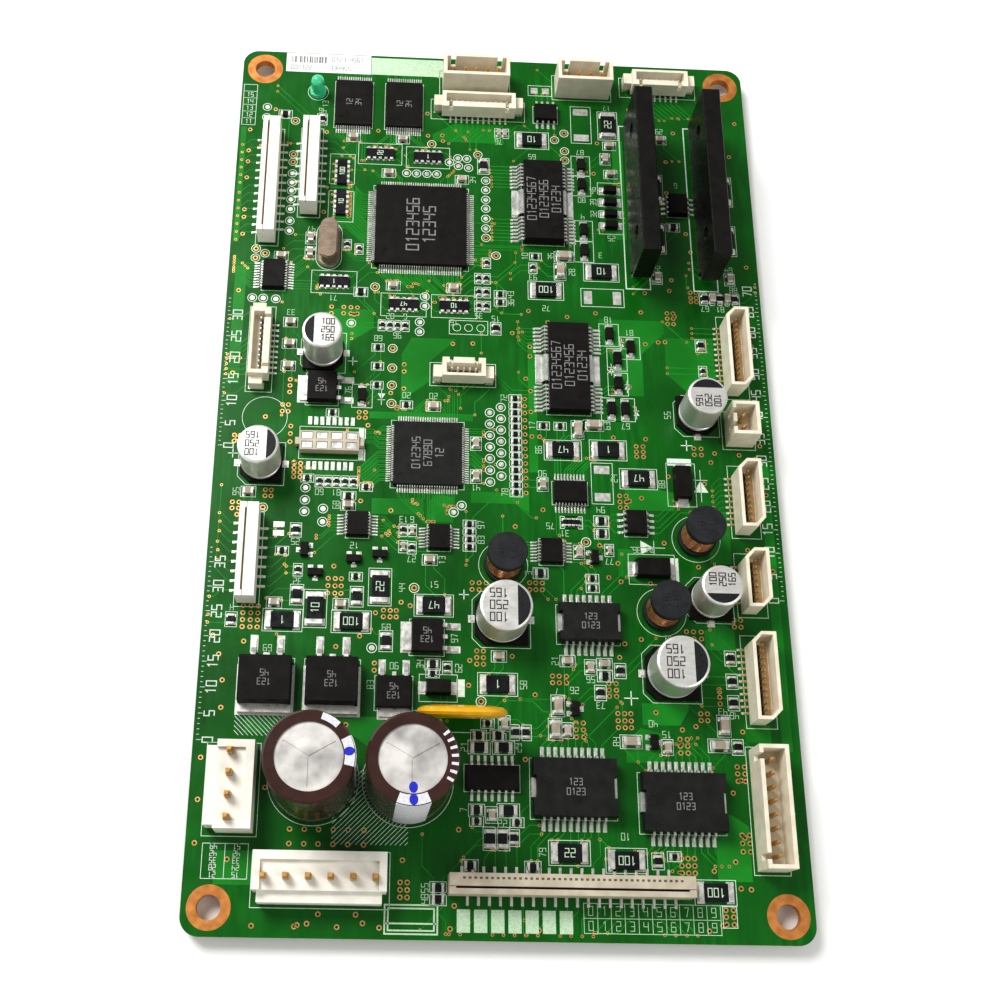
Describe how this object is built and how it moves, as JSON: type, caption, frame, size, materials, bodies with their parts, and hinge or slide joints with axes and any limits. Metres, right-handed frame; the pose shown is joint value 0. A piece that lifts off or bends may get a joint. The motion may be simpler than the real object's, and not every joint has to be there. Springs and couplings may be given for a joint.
{
  "type": "servo driver board",
  "caption": "Green circuit board with power drivers, logic chips, electrolytic capacitors, coils, upright driver modules, wire headers and flat-cable connectors with lifting locks.",
  "frame": {"origin": "under the middle of the board, level with the tips of the header pins' solder tails", "axes": "+X across the board, +Y along it towards the two wire headers on its short edge, +Z out of the component side"},
  "size_m": [0.115, 0.194, 0.0276],
  "materials": {
    "solder_mask": "glass-epoxy board under a glossy green mask",
    "bare_copper": "exposed copper, slightly dull",
    "solder": "bright cast solder",
    "paper_label": "white label stock",
    "raw_aluminium": "drawn can, satin",
    "brown_sleeve": "shrink sleeve, glossy",
    "seal_rubber": "matt bung",
    "black_moulding": "moulding compound, fine grain",
    "grey_moulding": "moulding compound, fine grain",
    "ferrite": "sintered, dull",
    "copper_wire": "enamelled wire",
    "tinned_metal": "tin-plated lead frame",
    "crystal_metal": "nickel-plated can",
    "green_lens": "tinted clear epoxy",
    "yellow_coating": "dipped epoxy",
    "resistor_glaze": "dark glaze",
    "end_cap_tin": "tinned end cap",
    "tan_ceramic": "fired ceramic",
    "ivory_nylon": "natural nylon",
    "white_nylon": "white thermoplastic",
    "beige_nylon": "beige thermoplastic",
    "gold_plate": "gold-flashed pin"
  },
  "bodies": {
    "board": {"circuit_board": "solder_mask", "mounting_pads": "bare_copper", "solder_joints": "solder", "label_sticker": "paper_label", "bulk_capacitor_cans": "raw_aluminium", "bulk_capacitor_sleeves": "brown_sleeve", "bulk_capacitor_seals": "seal_rubber", "reservoir_capacitor_cans": "raw_aluminium", "reservoir_capacitor_bases": "black_moulding", "reservoir_capacitor_terminals": "tinned_metal", "inductor_cores": "ferrite", "inductor_windings": "copper_wire", "processor_body": "black_moulding", "processor_leads": "tinned_metal", "gate_array_body": "black_moulding", "gate_array_leads": "tinned_metal", "memory_bodies": "black_moulding", "memory_leads": "tinned_metal", "stepper_driver_bodies": "black_moulding", "stepper_driver_leads": "tinned_metal", "motor_driver_bodies": "grey_moulding", "motor_driver_slugs": "tinned_metal", "motor_driver_leads": "tinned_metal", "driver_module_bodies": "black_moulding", "driver_module_leads": "tinned_metal", "power_transistor_bodies": "black_moulding", "power_transistor_tabs": "tinned_metal", "power_transistor_leads": "tinned_metal", "small_chip_bodies": "black_moulding", "small_chip_leads": "tinned_metal", "crystal_can": "crystal_metal", "crystal_base": "tinned_metal", "status_led_lens": "green_lens", "surge_disc": "yellow_coating", "through_hole_legs": "tinned_metal", "power_resistor_bodies": "resistor_glaze", "power_resistor_caps": "end_cap_tin", "chip_resistor_bodies": "resistor_glaze", "chip_capacitor_bodies": "tan_ceramic", "chip_end_caps": "end_cap_tin", "resistor_array_bodies": "resistor_glaze", "resistor_array_terminals": "end_cap_tin", "diode_bodies": "black_moulding", "diode_terminals": "tinned_metal", "small_transistor_bodies": "black_moulding", "small_transistor_leads": "tinned_metal", "filter_block_body": "beige_nylon", "filter_block_lids": "tinned_metal", "signal_header_housings": "ivory_nylon", "power_header_housings": "ivory_nylon", "header_pins": "gold_plate", "wire_socket_housings": "ivory_nylon", "wire_socket_contacts": "tinned_metal", "cable_connector_housings": "white_nylon", "wide_connector_housing": "beige_nylon", "cable_connector_contacts": "tinned_metal"},
    "cable_lock_left": {"cable_lock_left": "white_nylon"},
    "cable_lock_upper": {"cable_lock_upper": "white_nylon"},
    "cable_lock_lower": {"cable_lock_lower": "white_nylon"},
    "cable_lock_wide": {"cable_lock_wide": "beige_nylon"}
  },
  "joints": [
    {"name": "lock_left_lift", "type": "slide", "parent": "board", "child": "cable_lock_left", "axis": [0, 0, 1], "range_m": [0, 0.0012]},
    {"name": "lock_upper_lift", "type": "slide", "parent": "board", "child": "cable_lock_upper", "axis": [0, 0, 1], "range_m": [0, 0.0012]},
    {"name": "lock_lower_lift", "type": "slide", "parent": "board", "child": "cable_lock_lower", "axis": [0, 0, 1], "range_m": [0, 0.0012]},
    {"name": "lock_wide_lift", "type": "slide", "parent": "board", "child": "cable_lock_wide", "axis": [0, 0, 1], "range_m": [0, 0.0012]}
  ]
}
